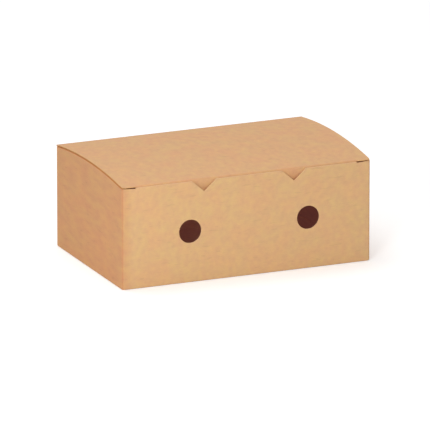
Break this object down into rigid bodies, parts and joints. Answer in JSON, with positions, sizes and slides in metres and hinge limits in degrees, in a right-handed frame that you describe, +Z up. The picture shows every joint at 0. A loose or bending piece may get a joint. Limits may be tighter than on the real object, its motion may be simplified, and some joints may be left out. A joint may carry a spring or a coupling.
{
  "type": "cardboard tray box",
  "caption": "Kraft board carry-out tray box with a hinged tuck-in lid, an arched top, round steam vents and pointed notches in the front wall.",
  "frame": {"origin": "centre of the box's outline at the level of its base", "axes": "+X to the right along the front wall, +Y from the front wall to the back wall, +Z up"},
  "size_m": [0.1778, 0.1142, 0.0738],
  "materials": {
    "kraft_board": "matt, unprinted, with a fine fibre mottle"
  },
  "bodies": {
    "tray": {"box_body": "kraft_board"},
    "lid": {"hinged_lid": "kraft_board"}
  },
  "joints": [
    {"name": "lid_hinge", "type": "hinge", "parent": "tray", "child": "lid", "pos_m": [0, 0.05675, 0.0695], "axis": [-1, 0, 0], "range_deg": [0, 180]}
  ]
}
